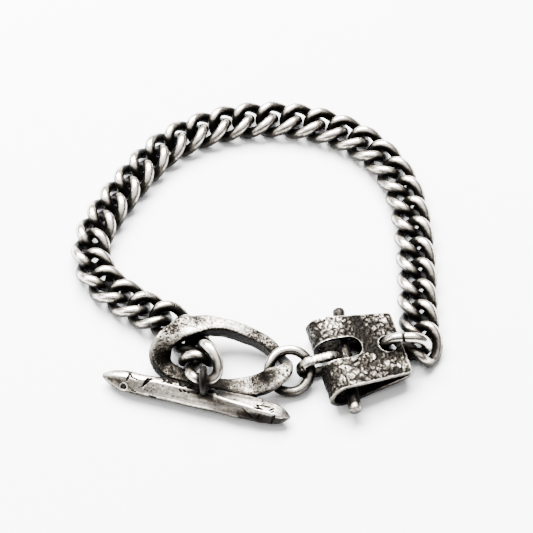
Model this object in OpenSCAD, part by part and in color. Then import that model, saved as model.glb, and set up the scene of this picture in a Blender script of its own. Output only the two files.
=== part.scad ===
// Chain bracelet: a curb chain with a toggle clasp and a folded tab, lying closed on a flat surface.

/* [Curb chain] */
// Diameter of the wire of the links
wire_d = 2.1; // [1.8:0.05:2.15]
// Distance from one link to the next
link_pitch = 4.78; // [4.75:0.01:4.85]
// Length of a link outside
link_l = 9.45; // [9.4:0.01:9.5]
// Width of a link outside
link_w = 7.8; // [7.7:0.05:8]
// Angle by which the end of a link is twisted
link_twist = 53; // [52:1:56]

/* [Toggle ring] */
// Width of the flat that breaks each edge of the ring's band
ring_edge = 0.55; // [0.3:0.05:0.7]

/* [Toggle bar] */
// Length of the toggle bar from tip to tip
bar_l = 36; // [34:0.5:36]
// Thickness of the toggle bar at its middle
bar_d = 4.5; // [4.2:0.1:4.6]
// Diameter of the hole near the bar's left tip
bar_hole_d = 1.3; // [1:0.1:1.5]
// Middle diameter of the eye soldered on the bar
bar_eye_d = 4; // [3.95:0.05:4.05]
// Wire of the eye soldered on the bar
bar_eye_wire = 1.45; // [1.4:0.05:1.5]

/* [Jump ring] */
// Outer diameter of the jump ring
jump_d = 9.7; // [9.6:0.1:9.8]
// Wire of the jump ring
jump_wire = 1.9; // [1.7:0.1:1.9]

/* [Folded tab] */
// Length of the folded tab from its fold to its free edges
tab_l = 16.3; // [16:0.1:16.5]
// Width of the folded tab at its fold
tab_w = 16.4; // [16:0.1:16.6]
// Width of the folded tab at its free edges
tab_edge_w = 13.3; // [13:0.1:14]
// Thickness of the sheet
tab_wall = 0.85; // [0.8:0.05:0.9]
// Outer height of the fold
fold_h = 6.6; // [6.4:0.1:6.8]
// Width of the slot through the fold
slot_w = 4.5; // [4.2:0.1:5]
// Length of the slot, from the fold's outside
slot_l = 8.7; // [8.5:0.1:8.9]
// Diameter of the hole near the free edges
tab_hole_d = 3.5; // [3.5:0.1:3.8]

/* [Cross pin] */
// Length of the pin through the fold
pin_l = 22.6; // [22:0.2:22.8]
// Diameter of the pin
pin_d = 2.4; // [2.2:0.1:2.6]
// Width of the eye soldered on the pin, as its wire is seen from above
eye_w = 1.9; // [1.8:0.1:2]
// Height of the wire of that eye
eye_h = 1.2; // [1.1:0.1:1.3]

/* [Connector ring] */
// Outer length of the connector ring
conn_l = 9.8; // [9.6:0.1:10]
// Outer height of the connector ring
conn_h = 7.8; // [7.6:0.1:8]
// Wire of the connector ring
conn_wire = 1.9; // [1.7:0.1:1.9]

/* [Hidden] */
// The bracelet's own middle on the surface, which becomes the origin
middle = [-2.32, 0.79];

// The chain's walk: each row bends a stretch of the chain the same way at each link
// [links, turn at each link]
stretches = [
    [2, -6.5],
    [3, -23],
    [1, -7],
    [3, -3],
    [2, -12],
    [6, -8],
    [5, -11.5],
    [2, -5],
    [3, -1.5],
    [3, 6]
];
// First link of the walk: x, y and the heading
walk_start = [-22.2, -12, 150.5];
// The four links between the walk and the toggle bar
// [x, y, z, turn about Z, tilt of the far end, roll about the link's length]
clasp_links = [
    [-11.59, -25.18, 5.7, 93.2, -2.8, -34.9],
    [-12.94, -21.77, 3.7, 125.1, -33.7, 7],
    [-14.68, -17.59, 2.34, 121.4, 1.5, -3.9],
    [-17.94, -14.22, 2.46, 147.9, 1.9, 0]
];
// The chain's last link, which holds the connector ring, in the same columns
last_link = [29.33, -18.92, 2.42, -83.8, 0.3, -2.9];

// Rows round the toggle ring, from its nose past the far arm and back along the near arm
// [x, y, z, width of the band, height of the band, lean]
ring_rows = [
    [3.75, -25.6, 4.5, 2.4, 1.9, 0],
    [2.5, -22.1, 2.3, 2.2, 2.3, 0],
    [-0.8, -19.0, 3.2, 2.5, 3.2, 0],
    [-8.1, -16.8, 4.8, 2.6, 3.4, 0],
    [-14.4, -17.4, 5.9, 4.2, 2.2, 4],
    [-18.7, -19.5, 4.9, 3.8, 2.2, 20],
    [-19.85, -22.1, 2.85, 4.1, 2.0, 32],
    [-18.2, -24.3, 1.5, 3.4, 2.0, 12],
    [-13.2, -26.3, 1.15, 2.6, 2.0, 0],
    [-8.6, -27.4, 1.3, 2.6, 2.2, -4],
    [-3.0, -28.2, 2.25, 4.0, 1.7, -12],
    [0.95, -27.8, 4.75, 4.1, 1.7, -12]
];
ring_steps = 4;

bar_at = [-13.1, -30.2, 2.1];
bar_turn = -14.4;
// Sections along the toggle bar
// [place along its length from -0.5 to 0.5, thickness, height, sideways shift]
bar_rows = [
    [-0.5, 0.2, 0.16, 0.05],
    [-0.47, 0.5, 0.47, 0.04],
    [-0.44, 0.72, 0.7, 0.03],
    [-0.39, 0.94, 0.92, 0.01],
    [-0.3, 0.98, 1.0, 0],
    [-0.1, 1.0, 0.98, 0],
    [0.12, 1.0, 0.96, 0],
    [0.32, 1.06, 1.0, 0],
    [0.42, 0.9, 0.85, 0],
    [0.5, 0.12, 0.15, 0.02]
];
bar_sides = 8;
bar_hole_place = -0.373;
bar_hole_tilt = 63;
bar_eye_at = [-11.6, -28.8, 5.87];

jump_at = [4.32, -25.17, 3.15];
jump_lean = 26;
jump_turn = 8;

tab_at = [9.5, -24];
tab_turn = 15.9;
tab_edge_low = 2.85;
tab_edge_gap = 0.15;
tab_hole_from_edge = 2.7;
slot_side = 0.6;
fold_steps = 20;
pin_from_fold = 5.6;
pin_side = -0.3;
pin_z = 3.1;
pin_skew = -8.6;
eye_set = 1.2;
eye_far = 3.35;
eye_play = 1.5;

conn_at = [26.05, -20.31, 3.9];
conn_lean = -3.5;

tau = 360;
link_rings = 16;
link_sides = 6;
oval_rings = 20;
oval_sides = 8;
swell = 2.3;

function unit(v) = v / norm(v);
function wave(c, reach) = reach * sign(c) * pow(abs(c), 2 / swell);
function total(rows, n) = n == 0 ? 0 : rows[n - 1][0] + total(rows, n - 1);

walk_count = total(stretches, len(stretches));
link_count = len(clasp_links) + walk_count;
link_names = [for (i = [1 : link_count]) str("link_", i < 10 ? "0" : "", i)];

// Turn taken when the walk leaves link i, read from the stretches
function turn_after(i, row = 0) =
    row >= len(stretches) - 1 || i < stretches[row][0]
        ? stretches[row][1]
        : turn_after(i - stretches[row][0], row + 1);
// Place and heading of every link of the walk
function walk(i, at) =
    i == walk_count - 1 ? [at]
    : let (turn = turn_after(i), way = at[2] + turn / 2)
      concat([at], walk(i + 1, [at[0] + link_pitch * cos(way), at[1] + link_pitch * sin(way), at[2] + turn]));

// Centre line of a curb link: an oval whose two ends are twisted opposite ways
function link_point(t) =
    let (x = wave(cos(t), (link_l - wire_d) / 2),
        y = wave(sin(t), (link_w - wire_d) / 2),
        twist = -link_twist * 2 * x / (link_l - wire_d))
    [x, y * cos(twist), y * sin(twist)];
link_line = [for (i = [0 : link_rings - 1]) link_point(tau * i / link_rings)];
link_z = wire_d / 2 + max([for (p = link_line) p[2]]);

// Direction of a closed line at point i
function along(line, i) =
    unit(line[(i + 1) % len(line)] - line[(i + len(line) - 1) % len(line)]);
// One section set square to a closed line, its first axis level and outward, its second one up
function set_square(line, i, section, lean = 0) =
    let (way = along(line, i),
        side = unit(cross(way, [0, 0, 1])),
        rise = cross(side, way),
        a = side * cos(lean) + rise * sin(lean),
        b = rise * cos(lean) - side * sin(lean))
    [for (p = section) line[i] + a * p[0] + b * p[1]];
function round_section(w, h, sides) =
    [for (k = [0 : sides - 1]) [w / 2 * cos(tau * k / sides), h / 2 * sin(tau * k / sides)]];
// A band's section with its four edges broken
function band_section(w, h, edge) =
    let (x = w / 2, y = h / 2)
    [[x, y - edge], [x - edge, y], [edge - x, y], [-x, y - edge],
     [-x, edge - y], [edge - x, -y], [x - edge, -y], [x, edge - y]];
// Smooth value between rows of a closed table
function blend(p, q, r, s, t) =
    0.5 * (2 * q + (r - p) * t + (2 * p - 5 * q + 4 * r - s) * t * t + (3 * q - p - 3 * r + s) * t * t * t);
function closed_rows(rows, steps) =
    let (n = len(rows))
    [for (i = [0 : n - 1], k = [0 : steps - 1])
        blend(rows[(i + n - 1) % n], rows[i], rows[(i + 1) % n], rows[(i + 2) % n], k / steps)];

// Skin over sections that follow each other round a loop
module closed_skin(sections) {
    n = len(sections);
    m = len(sections[0]);
    polyhedron(
        points = [for (s = sections, p = s) p],
        faces = [for (i = [0 : n - 1], k = [0 : m - 1])
            let (j = (i + 1) % n, l = (k + 1) % m)
            each [[i * m + k, j * m + l, j * m + k], [i * m + k, i * m + l, j * m + l]]],
        convexity = 6);
}

// Skin over sections in a row, closed with a flat face at each end
module capped_skin(sections) {
    n = len(sections);
    m = len(sections[0]);
    polyhedron(
        points = [for (s = sections, p = s) p],
        faces = concat(
            [for (i = [0 : n - 2], k = [0 : m - 1])
                let (j = i + 1, l = (k + 1) % m)
                each [[i * m + k, j * m + k, j * m + l], [i * m + k, j * m + l, i * m + l]]],
            [[for (k = [0 : m - 1]) k]],
            [[for (k = [m - 1 : -1 : 0]) (n - 1) * m + k]]),
        convexity = 4);
}

module curb_link() {
    closed_skin([for (i = [0 : link_rings - 1])
        set_square(link_line, i, round_section(wire_d, wire_d, link_sides))]);
}

module silver() {
    translate([-middle[0], -middle[1], 0]) color("silver") children();
}

module dark_silver() {
    translate([-middle[0], -middle[1], 0]) color("dimgray") children();
}

// Link i, counted from the toggle bar
module link(i) {
    free = len(clasp_links);
    at = walk(0, walk_start)[i - free];
    row = i < free ? clasp_links[i]
        : i == link_count - 1 ? last_link
        : [at[0], at[1], link_z, at[2], 0, 0];
    silver() translate([row[0], row[1], row[2]]) rotate([0, 0, row[3]]) rotate([0, -row[4], 0])
        rotate([row[5], 0, 0]) curb_link();
}

module toggle_ring() {
    rows = closed_rows(ring_rows, ring_steps);
    line = [for (r = rows) [r[0], r[1], r[2]]];
    silver() closed_skin([for (i = [0 : len(rows) - 1])
        set_square(line, i, band_section(rows[i][3], rows[i][4], ring_edge), rows[i][5])]);
}

module toggle_bar() {
    silver() {
        difference() {
            translate(bar_at) rotate([0, 0, bar_turn])
                capped_skin([for (r = bar_rows)
                    [for (k = [0 : bar_sides - 1])
                        [r[0] * bar_l,
                         bar_d * (r[3] + r[1] / 2 * cos(tau * (k + 0.5) / bar_sides)),
                         bar_d * r[2] / 2 * sin(tau * (k + 0.5) / bar_sides)]]]);
            translate(bar_at) rotate([0, 0, bar_turn]) translate([bar_hole_place * bar_l, 0, 0])
                rotate([bar_hole_tilt, 0, 0]) cylinder(d = bar_hole_d, h = 2 * bar_d, center = true, $fn = 24);
        }
        translate(bar_eye_at) rotate([0, 90, 0])
            rotate_extrude($fn = 48) translate([bar_eye_d / 2, 0]) circle(d = bar_eye_wire, $fn = 24);
    }
}

module jump_ring() {
    silver() translate(jump_at) rotate([0, 0, jump_turn]) rotate([jump_lean, 0, 0])
        rotate_extrude($fn = 48) translate([(jump_d - jump_wire) / 2, 0]) circle(d = jump_wire, $fn = 24);
}

// The tab's own place: its first axis runs from the fold to the free edges
module in_tab() {
    translate([tab_at[0], tab_at[1], 0]) rotate([0, 0, tab_turn]) children();
}

// Side view of the folded sheet: two leaves that leave the round fold as tangents
function leaf_end(z, upper) =
    let (r = fold_h / 2, q = [tab_l - r, z - r], d = norm(q), w = acos((r - tab_wall / 2) / d))
    atan2(q[1], q[0]) + (upper ? w : -w);

module tab_profile() {
    r = fold_h / 2;
    low_z = tab_edge_low;
    high_z = tab_edge_low + tab_wall + tab_edge_gap;
    top_angle = leaf_end(high_z, true);
    low_angle = leaf_end(low_z, false) + tau;
    turn = [for (k = [0 : fold_steps]) top_angle + (low_angle - top_angle) * k / fold_steps];
    top_n = [cos(top_angle), sin(top_angle)];
    low_n = [cos(low_angle), sin(low_angle)];
    half = tab_wall / 2;
    top_end = [tab_l, high_z];
    low_end = [tab_l, low_z];
    polygon(concat(
        [top_end - top_n * half, top_end + top_n * half],
        [for (a = turn) [r, r] + r * [cos(a), sin(a)]],
        [low_end + low_n * half, low_end - low_n * half],
        [for (k = [fold_steps : -1 : 0]) [r, r] + (r - tab_wall) * [cos(turn[k]), sin(turn[k])]]));
}

module folded_tab() {
    dark_silver() in_tab() difference() {
        intersection() {
            translate([0, tab_w / 2, 0]) rotate([90, 0, 0]) linear_extrude(tab_w) tab_profile();
            translate([0, 0, -1]) linear_extrude(fold_h + 2)
                polygon([[-1, -tab_w / 2], [tab_l + 1, -tab_edge_w / 2], [tab_l + 1, tab_edge_w / 2], [-1, tab_w / 2]]);
        }
        translate([0, 0, -1]) linear_extrude(fold_h + 2) {
            translate([-1, slot_side - slot_w / 2]) square([slot_l + 1 - slot_w / 2, slot_w]);
            translate([slot_l - slot_w / 2, slot_side]) circle(d = slot_w, $fn = 48);
        }
        translate([tab_l - tab_hole_from_edge, 0, -1])
            cylinder(d = tab_hole_d, h = fold_h + 2, $fn = 48);
    }
}

// An oval eye in an upright plane, its far end reach away from its near end
module upright_oval(reach, radius, wide, thick) {
    line = [for (k = [0 : oval_rings - 1])
        let (t = tau * (k + 0.5) / oval_rings)
        [radius * cos(t) + sign(cos(t)) * reach / 2, 0, radius * sin(t)]];
    closed_skin([for (i = [0 : oval_rings - 1])
        let (out = cross(along(line, i), [0, 1, 0]))
        [for (p = round_section(wide, thick, oval_sides)) line[i] + [0, 1, 0] * p[0] - out * p[1]]]);
}

module cross_pin() {
    eye_r = (jump_wire + eye_h + eye_play) / 2;
    silver() in_tab() translate([pin_from_fold, 0, pin_z]) {
        translate([0, pin_side, 0]) rotate([90, 0, pin_skew]) translate([0, 0, -pin_l / 2])
            cylinder(d = pin_d, h = pin_l, $fn = 32);
        // A long eye that reaches from the pin to the jump ring
        translate([-eye_set - eye_r - eye_far / 2, 0, 0]) upright_oval(eye_far, eye_r, eye_w, eye_h);
    }
}

module connector_ring() {
    silver() translate(conn_at) rotate([conn_lean, 0, 0])
        upright_oval(conn_l - conn_h, (conn_h - conn_wire) / 2, conn_wire, conn_wire);
}

toggle_bar();
toggle_ring();
jump_ring();
cross_pin();
folded_tab();
connector_ring();
for (i = [0 : link_count - 1]) link(i);
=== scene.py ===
import math

import bmesh
import bpy
import numpy as np
from mathutils import Matrix, Vector, noise
from mathutils.bvhtree import BVHTree


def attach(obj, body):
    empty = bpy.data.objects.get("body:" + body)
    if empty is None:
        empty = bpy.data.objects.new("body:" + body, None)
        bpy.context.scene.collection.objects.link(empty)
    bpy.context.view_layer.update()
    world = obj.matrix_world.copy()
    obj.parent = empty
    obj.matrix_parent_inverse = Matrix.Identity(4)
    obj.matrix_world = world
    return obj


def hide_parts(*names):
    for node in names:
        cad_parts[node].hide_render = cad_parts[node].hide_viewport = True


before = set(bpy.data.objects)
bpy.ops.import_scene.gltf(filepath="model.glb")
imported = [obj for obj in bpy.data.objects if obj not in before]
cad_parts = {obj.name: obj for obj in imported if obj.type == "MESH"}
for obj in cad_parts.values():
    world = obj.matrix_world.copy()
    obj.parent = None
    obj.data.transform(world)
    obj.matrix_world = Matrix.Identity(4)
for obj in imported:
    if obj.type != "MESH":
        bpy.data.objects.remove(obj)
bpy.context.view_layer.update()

MM = 0.001
TAU = 2 * math.pi
# noise_vector depends on this seed, which is the clock's time unless it is set
noise.seed_set(12)

# The bracelet's middle in the plan that the sizes below are laid out on, in millimetres
MIDDLE = (-2.32, 0.79)

# Height to which the undersides are worn flat where they lie on the table
TABLE_WEAR = 0.01

# Curb link, in millimetres
WIRE_D = 2.1
LINK_L = 9.45
LINK_W = 7.8
LINK_TWIST = math.radians(53)
LINK_SWELL = 2.3
LINK_COUNT = 34
LINK_STEPS = 88
LINK_SIDES = 18

# Toggle ring, from its nose past the far arm and back along the near arm
# (x, y, z, width of the band, height of the band, lean in degrees)
RING_ROWS = (
    (3.75, -25.6, 4.5, 2.4, 1.9, 0),
    (2.5, -22.1, 2.3, 2.2, 2.3, 0),
    (-0.8, -19.0, 3.2, 2.5, 3.2, 0),
    (-8.1, -16.8, 4.8, 2.6, 3.4, 0),
    (-14.4, -17.4, 5.9, 4.2, 2.2, 4),
    (-18.7, -19.5, 4.9, 3.8, 2.2, 20),
    (-19.85, -22.1, 2.85, 4.1, 2.0, 32),
    (-18.2, -24.3, 1.5, 3.4, 2.0, 12),
    (-13.2, -26.3, 1.15, 2.6, 2.0, 0),
    (-8.6, -27.4, 1.3, 2.6, 2.2, -4),
    (-3.0, -28.2, 2.25, 4.0, 1.7, -12),
    (0.95, -27.8, 4.75, 4.1, 1.7, -12),
)
RING_STEPS = 54
BAND_SIDES = 64
BAND_SQUARENESS = 6.0

# Toggle bar
BAR_AT = Vector((-13.1, -30.2, 2.1))
BAR_TURN = math.radians(-14.4)
BAR_L = 36.0
BAR_D = 4.5
# (place along its length from -0.5 to 0.5, thickness, height, sideways shift)
BAR_ROWS = (
    (-0.5, 0.2, 0.16, 0.05),
    (-0.47, 0.5, 0.47, 0.04),
    (-0.44, 0.72, 0.7, 0.03),
    (-0.39, 0.94, 0.92, 0.01),
    (-0.3, 0.98, 1.0, 0.0),
    (-0.1, 1.0, 0.98, 0.0),
    (0.12, 1.0, 0.96, 0.0),
    (0.32, 1.06, 1.0, 0.0),
    (0.42, 0.9, 0.85, 0.0),
    (0.455, 0.7, 0.66, 0.0),
    (0.48, 0.45, 0.42, 0.01),
    (0.5, 0.12, 0.15, 0.02),
)
BAR_STEPS = 290
BAR_SIDES = 104
BAR_HOLE_D = 1.3
BAR_HOLE_PLACE = -0.373
BAR_HOLE_FACING = math.radians(153)
BAR_EYE_AT = Vector((-11.6, -28.8, 5.87))
BAR_EYE_D = 4.0
BAR_EYE_WIRE = 1.45
# The bar's eye is painted nearly black: dark oxide, and painted shade of the dark mass round its foot
BAR_EYE_OXIDE_AND_SHADE = 1.15

# Jump ring
JUMP_AT = Vector((4.32, -25.17, 3.15))
JUMP_LEAN = math.radians(26)
JUMP_TURN = math.radians(8)
JUMP_D = 9.7
JUMP_WIRE = 1.9

# Folded tab
TAB_AT = Vector((9.5, -24.0, 0.0))
TAB_TURN = math.radians(15.9)
TAB_L = 16.3
TAB_W = 16.4
TAB_EDGE_W = 13.3
TAB_WALL = 0.85
FOLD_H = 6.6
SLOT_W = 4.5
SLOT_L = 8.7
SLOT_SIDE = 0.6
TAB_EDGE_LOW = 2.85
TAB_EDGE_GAP = 0.15
TAB_HOLE_D = 3.5
TAB_HOLE_FROM_EDGE = 2.7
TAB_CORNER = 0.7
TAB_EDGE_WEAR = 0.09
TAB_RUNS = 290
TAB_ROWS = 122

# Steps round a ring of round wire, and sides of its wire
WIRE_RING_STEPS = 72
WIRE_RING_SIDES = 20

# Cross pin with its long eye
PIN_FROM_FOLD = 5.6
PIN_SIDE = -0.3
PIN_Z = 3.1
PIN_SKEW = math.radians(-8.6)
PIN_L = 22.6
PIN_D = 2.4
EYE_W = 1.9
EYE_H = 1.2
EYE_R = 2.3
EYE_SET = 1.2
EYE_REACH = 3.35
PIN_STEPS = 120
PIN_SIDES = 32

# Steps round the pin's eye or the connector ring, and sides of their wire
UPRIGHT_STEPS = 96
UPRIGHT_SIDES = 24

# Connector ring
CONN_AT = Vector((26.05, -20.31, 3.9))
CONN_LEAN = math.radians(-3.5)
CONN_L = 9.8
CONN_H = 7.8
CONN_WIRE = 1.9
# Its open seam: place along the ring, and depth
SEAM_X = -0.6
SEAM_DEPTH = 0.22

# The photo's view: distance and height of the camera, and its lens for a square frame
VIEW_ELEVATION = math.radians(57)
VIEW_DISTANCE = 0.46
FRAME_PX = 533
FOCAL_PX = 2385
SENSOR_MM = 36


def to_part(point):
    """A place on the plan, in millimetres, as metres in the part's frame."""
    return Vector((point[0] - MIDDLE[0], point[1] - MIDDLE[1], point[2])) * MM


def smoothstep(low, high, value):
    t = min(1.0, max(0.0, (value - low) / (high - low)))
    return t * t * (3 - 2 * t)


def signed_power(value, power):
    return math.copysign(abs(value) ** power, value)


def catmull(p, q, r, s, t):
    return 0.5 * (2 * q + (r - p) * t + (2 * p - 5 * q + 4 * r - s) * t * t
                  + (3 * q - p - 3 * r + s) * t ** 3)


def resampled(points, count):
    """Points spaced evenly along a closed line."""
    ring = np.array([tuple(p) for p in points] + [tuple(points[0])])
    run = np.concatenate([[0], np.cumsum(np.linalg.norm(np.diff(ring, axis=0), axis=1))])
    want = np.linspace(0, run[-1], count, endpoint=False)
    axes = range(ring.shape[1])
    return [Vector(p) for p in np.stack([np.interp(want, run, ring[:, k]) for k in axes], axis=1)]


def skin(sections, closed):
    """A skin over sections that follow each other: a loop, or a run with a flat end at each side."""
    bm = bmesh.new()
    first = [bm.verts.new(p) for p in sections[0]]
    sides = len(first)
    first_ring = [bm.edges.new((first[k], first[(k + 1) % sides])) for k in range(sides)]
    last, ring = first, first_ring
    for section in sections[1:]:
        made = bmesh.ops.extrude_edge_only(bm, edges=ring)["geom"]
        fresh = {v for v in made if isinstance(v, bmesh.types.BMVert)}
        last = [next(e.other_vert(v) for e in v.link_edges if e.other_vert(v) in fresh) for v in last]
        ring = [e for e in made if isinstance(e, bmesh.types.BMEdge)
                and e.verts[0] in fresh and e.verts[1] in fresh]
        for vert, place in zip(last, section):
            vert.co = place
    if closed:
        bmesh.ops.bridge_loops(bm, edges=first_ring + ring)
    else:
        bmesh.ops.edgeloop_fill(bm, edges=first_ring)
        bmesh.ops.edgeloop_fill(bm, edges=ring)
    bmesh.ops.recalc_face_normals(bm, faces=bm.faces)
    return bm


def oval(width, height, sides, squareness=2.0):
    """Points of an oval section, squarer as squareness grows."""
    fine = 8 * sides
    return resampled([(width / 2 * signed_power(math.cos(TAU * k / fine), 2 / squareness),
                       height / 2 * signed_power(math.sin(TAU * k / fine), 2 / squareness))
                      for k in range(fine)], sides)


def swept(line, section_at):
    """Sections set square to a closed line, each first axis level and outward."""
    count = len(line)
    sections = []
    for i, place in enumerate(line):
        way = (line[(i + 1) % count] - line[i - 1]).normalized()
        side = way.cross(Vector((0, 0, 1))).normalized()
        rise = side.cross(way)
        points, lean = section_at(i)
        a = side * math.cos(lean) + rise * math.sin(lean)
        b = rise * math.cos(lean) - side * math.sin(lean)
        sections.append([place + a * p[0] + b * p[1] for p in points])
    return sections


def add_layer(bm, name):
    return bm.verts.layers.float.get(name) or bm.verts.layers.float.new(name)


def mark(vert, layer, value):
    vert[layer] = min(1.0, max(vert[layer], value))


def press(bm, depth_at):
    """Move each vertex in by a depth, less along a rim, and keep its darkening in the layer of dents and
    shade: dirt, and painted shade where the depth function gives it.
    """
    dent_and_shade, calm = add_layer(bm, "dent_and_shade"), add_layer(bm, "calm")
    bm.normal_update()
    moves = [(vert, *depth_at(vert.co)) for vert in bm.verts]
    for vert, depth, dark in moves:
        vert.co -= vert.normal * depth * (1 - vert[calm])
        mark(vert, dent_and_shade, dark * (1 - vert[calm]))


# A hole is cut in a net of faces by moving the vertices beside its edge onto it, from CUT_REACH cells
# inside it to CUT_TAKE cells outside it, and then merging those closer than CUT_MERGE cells
CUT_REACH, CUT_TAKE, CUT_MERGE = 1.6, 0.45, 0.4


def calm_rim(calm, verts, steps=3):
    """Keep the faces beside a rim smooth, fading over a few rows of vertices."""
    ring = set(verts)
    for step in range(steps):
        for vert in ring:
            vert[calm] = max(vert[calm], 1 - step / steps)
        ring = {e.other_vert(v) for v in ring for e in v.link_edges} - ring
        ring = {v for v in ring if v[calm] == 0}


def spots_at(place, spots):
    """Sum at a place of soft round spots, each its middle's coordinates, its radius and its strength."""
    return sum(strength * math.exp(-((place - Vector(middle)).length / reach) ** 2)
               for *middle, reach, strength in spots)


def ripple(size, depth, seed):
    """Soft uneven surface of hand-finished metal."""
    shift = Vector((seed, seed * 0.37, seed * 0.71))

    def depth_at(place):
        return depth * noise.noise(place / size + shift), 0.0
    return depth_at


def pits(size, depth, seed, share, patch=4.0, crowds=()):
    """Small sharp casting pits; share is how much of the metal they take, more at the spots in crowds."""
    shift = Vector((seed, seed * 0.53, seed * 0.29))

    def depth_at(place):
        taken = share + spots_at(place, crowds)
        crowd = noise.noise(place / patch + shift)
        grain = noise.noise(place / size + shift) + 0.5 * noise.noise(place / (size * 0.45) - shift)
        pit = smoothstep(0.0, 0.22, grain - (1.0 - taken) * 0.6 + 0.45 * crowd)
        return depth * pit, pit
    return depth_at


def hammering(size, depth, seed, darkness):
    """Bright plateaus with a dark network sunk between them."""
    shift = Vector((seed, seed * 0.41, seed * 0.83))

    def depth_at(place):
        bend = noise.noise_vector(place / (size * 0.8) + shift) * size * 0.35
        near = noise.voronoi((place + bend) / size + shift)[0]
        groove = 1 - smoothstep(0.02, 0.42, near[1] - near[0])
        rough = noise.noise(place / (size * 0.4) - shift)
        low = min(1.0, max(0.0, groove * 0.75 + 0.55 * rough))
        return depth * low, darkness * low
    return depth_at


def make_piece(name, bm, material, nodes, scaled=True):
    """A finished piece from a bmesh laid out in millimetres on the plan."""
    if scaled:
        for vert in bm.verts:
            vert.co = to_part(vert.co)
    for vert in bm.verts:
        vert.co.z = max(vert.co.z, TABLE_WEAR * MM)
    mesh = bpy.data.meshes.new(name)
    bm.to_mesh(mesh)
    bm.free()
    mesh.polygons.foreach_set("use_smooth", [True] * len(mesh.polygons))
    obj = bpy.data.objects.new(name, mesh)
    bpy.context.scene.collection.objects.link(obj)
    mesh.materials.append(material)
    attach(obj, "root")
    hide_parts(*nodes)
    return obj


# Materials
# Colour of oxidised silver, from black in its recesses to bright on its crests
SILVER_TONES = ((0.0, (0.0065, 0.0058, 0.005, 1)), (0.35, (0.036, 0.031, 0.025, 1)),
                (0.7, (0.26, 0.234, 0.198, 1)), (1.0, (0.77, 0.705, 0.63, 1)))
BLACK_ROUGHNESS = 0.5
# Streaks of dirt: their width in millimetres, and how many times longer they are
STREAK_W = 0.45
STREAK_STRETCH = 9


def shader_group(name, inputs, outputs):
    group = bpy.data.node_groups.new(name, "ShaderNodeTree")
    for socket, value in inputs:
        item = group.interface.new_socket(socket, in_out="INPUT", socket_type="NodeSocketFloat")
        item.default_value = value
    for socket, kind in outputs:
        group.interface.new_socket(socket, in_out="OUTPUT", socket_type=kind)
    return group, group.nodes.new("NodeGroupInput"), group.nodes.new("NodeGroupOutput")


def feed(tree, socket, value):
    """Set a socket to a number, or link it to the socket given."""
    if isinstance(value, (int, float)):
        socket.default_value = value
    else:
        tree.links.new(value, socket)


def math_node(tree, operation, a, b):
    node = tree.nodes.new("ShaderNodeMath")
    node.operation = operation
    feed(tree, node.inputs[0], a)
    feed(tree, node.inputs[1], b)
    return node.outputs[0]


def map_range(tree, value, low, high, to_low=0.0, to_high=1.0):
    node = tree.nodes.new("ShaderNodeMapRange")
    node.interpolation_type = "SMOOTHSTEP"
    for socket, given in (("Value", value), ("From Min", low), ("From Max", high),
                          ("To Min", to_low), ("To Max", to_high)):
        feed(tree, node.inputs[socket], given)
    return node.outputs["Result"]


def noise_texture(tree, vector, size, detail, roughness):
    """Noise whose grains have a size in millimetres, given as a number or a socket."""
    node = tree.nodes.new("ShaderNodeTexNoise")
    scale = 1 / (size * MM) if isinstance(size, float) else math_node(tree, "DIVIDE", 1 / MM, size)
    for socket, given in (("Vector", vector), ("Scale", scale), ("Detail", detail), ("Roughness", roughness)):
        feed(tree, node.inputs[socket], given)
    return node.outputs["Fac"]


def centred(tree, value, strength):
    """Noise turned into a swing of the given strength round zero."""
    return math_node(tree, "MULTIPLY", math_node(tree, "SUBTRACT", value, 0.5), strength)


def patina_group():
    """Silver that is black in its recesses and worn bright on its crests. Its metal is black up to a
    wear of Start and bright from a wear of Full."""
    tree, inlet, outlet = shader_group(
        "silver_patina",
        (("Open", 1.0), ("Dent And Shade", 0.0), ("Rim", 0.0), ("Grain", 0.5), ("Start", 0.3), ("Full", 0.6),
         ("Dent Dirt", 0.5), ("Grain Dirt", 0.4), ("Polish", 0.2), ("Tone", 1.0)),
        (("Color", "NodeSocketColor"), ("Roughness", "NodeSocketFloat"), ("Clean", "NodeSocketFloat")))
    grain = centred(tree, inlet.outputs["Grain"], inlet.outputs["Grain Dirt"])
    # dents and the painted shade kept with them take wear away, so both darken the metal
    dirt_and_shade = math_node(tree, "MULTIPLY", inlet.outputs["Dent And Shade"], inlet.outputs["Dent Dirt"])
    worn = math_node(tree, "SUBTRACT", math_node(tree, "ADD", inlet.outputs["Open"], grain), dirt_and_shade)
    worn = math_node(tree, "ADD", worn, inlet.outputs["Rim"])
    clean = map_range(tree, worn, inlet.outputs["Start"], inlet.outputs["Full"])
    ramp = tree.nodes.new("ShaderNodeValToRGB")
    ramp.color_ramp.interpolation = "LINEAR"
    elements = ramp.color_ramp.elements
    while len(elements) < len(SILVER_TONES):
        elements.new(0.5)
    for element, (place, color) in zip(elements, SILVER_TONES):
        element.position = place
        element.color = color
    tree.links.new(clean, ramp.inputs["Fac"])
    rough = map_range(tree, clean, 0.0, 1.0, BLACK_ROUGHNESS, inlet.outputs["Polish"])
    toned = tree.nodes.new("ShaderNodeVectorMath")
    toned.operation = "SCALE"
    tree.links.new(ramp.outputs["Color"], toned.inputs[0])
    tree.links.new(inlet.outputs["Tone"], toned.inputs["Scale"])
    tree.links.new(toned.outputs["Vector"], outlet.inputs["Color"])
    tree.links.new(rough, outlet.inputs["Roughness"])
    tree.links.new(clean, outlet.inputs["Clean"])
    return tree


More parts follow.
